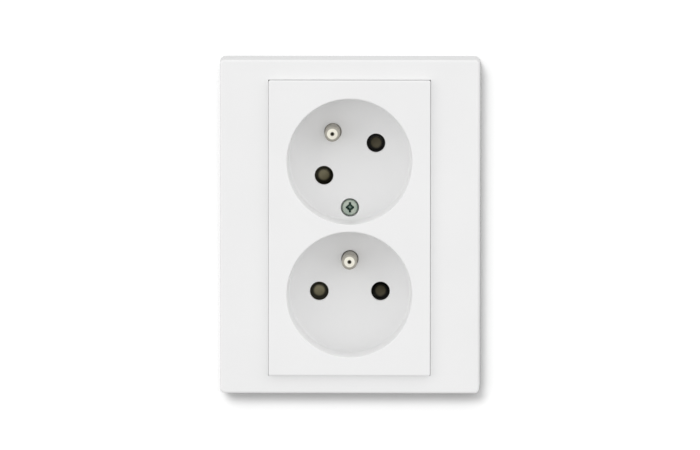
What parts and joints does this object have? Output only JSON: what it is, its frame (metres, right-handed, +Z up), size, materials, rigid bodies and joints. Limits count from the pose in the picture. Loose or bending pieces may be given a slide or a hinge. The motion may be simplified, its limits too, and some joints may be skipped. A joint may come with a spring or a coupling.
{
  "type": "double wall socket",
  "caption": "Flush wall socket with two round wells, the upper one turned, each with an earth pin and two shuttered contact holes, in a square-edged frame.",
  "frame": {"origin": "middle of the box screws at the wall's surface, midway between the two wells", "axes": "-Y out of the wall towards the user, +X to the user's right, +Z up"},
  "size_m": [0.0808, 0.0425, 0.1039],
  "materials": {
    "white_plastic": "gloss",
    "base_plastic": "satin",
    "lid_plastic": "matte",
    "shutter_plastic": "satin",
    "zinc_steel": "satin",
    "zinc_screw": "satin",
    "spring_steel": "satin",
    "brass": "satin",
    "nickel": "polished"
  },
  "bodies": {
    "socket_body": {"cover_frame": "white_plastic", "socket_cover": "white_plastic", "cover_screw": "zinc_screw", "mounting_strap": "zinc_steel", "strap_screws": "zinc_screw", "base_housing": "base_plastic", "contact_cover_screws": "zinc_screw", "live_contact_strip": "brass", "neutral_contact_strip": "brass", "earth_strip": "brass", "upper_contact_cover": "lid_plastic", "upper_shutter_spring": "spring_steel", "upper_earth_pin": "nickel", "lower_contact_cover": "lid_plastic", "lower_shutter_spring": "spring_steel", "lower_earth_pin": "nickel", "live_clamp_plate": "zinc_steel", "live_terminal_screw": "zinc_screw", "neutral_clamp_plate": "zinc_steel", "neutral_terminal_screw": "zinc_screw", "earth_clamp_plate": "zinc_steel", "earth_terminal_screw": "zinc_screw"},
    "upper_shutter_body": {"upper_shutter": "shutter_plastic"},
    "lower_shutter_body": {"lower_shutter": "shutter_plastic"}
  },
  "joints": [
    {"name": "upper_shutter_turn", "type": "hinge", "parent": "socket_body", "child": "upper_shutter_body", "pos_m": [0, 0, 0.0205], "axis": [0, 1, 0], "range_deg": [0, 38], "stiffness_Nm_per_rad": 0.0008, "springref_deg": -34.38, "deforming": ["upper_shutter_spring"]},
    {"name": "lower_shutter_turn", "type": "hinge", "parent": "socket_body", "child": "lower_shutter_body", "pos_m": [0, 0, -0.0205], "axis": [0, 1, 0], "range_deg": [0, 38], "stiffness_Nm_per_rad": 0.0008, "springref_deg": -34.38, "deforming": ["lower_shutter_spring"]}
  ]
}
